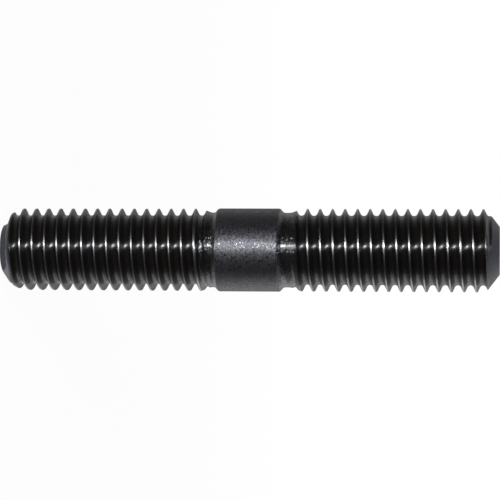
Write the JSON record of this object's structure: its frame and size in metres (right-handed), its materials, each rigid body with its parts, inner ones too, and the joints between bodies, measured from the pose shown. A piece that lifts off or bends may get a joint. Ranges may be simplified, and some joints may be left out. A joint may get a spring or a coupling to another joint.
{
  "type": "double ended stud",
  "caption": "Straight steel stud with a coarse right-hand thread on each end, a short plain shank between them and a chamfer round each end face.",
  "frame": {"origin": "middle of the lower end face, at the end of the thread that has the shorter neck beside the shank", "axes": "+Z along the stud's axis, from the thread with the shorter neck to the one with the longer neck"},
  "size_m": [0.01, 0.01, 0.06],
  "materials": {
    "black_steel": "steel with a satin black oxide finish and a film of oil"
  },
  "bodies": {
    "root": {"stud": "black_steel"}
  },
  "joints": []
}
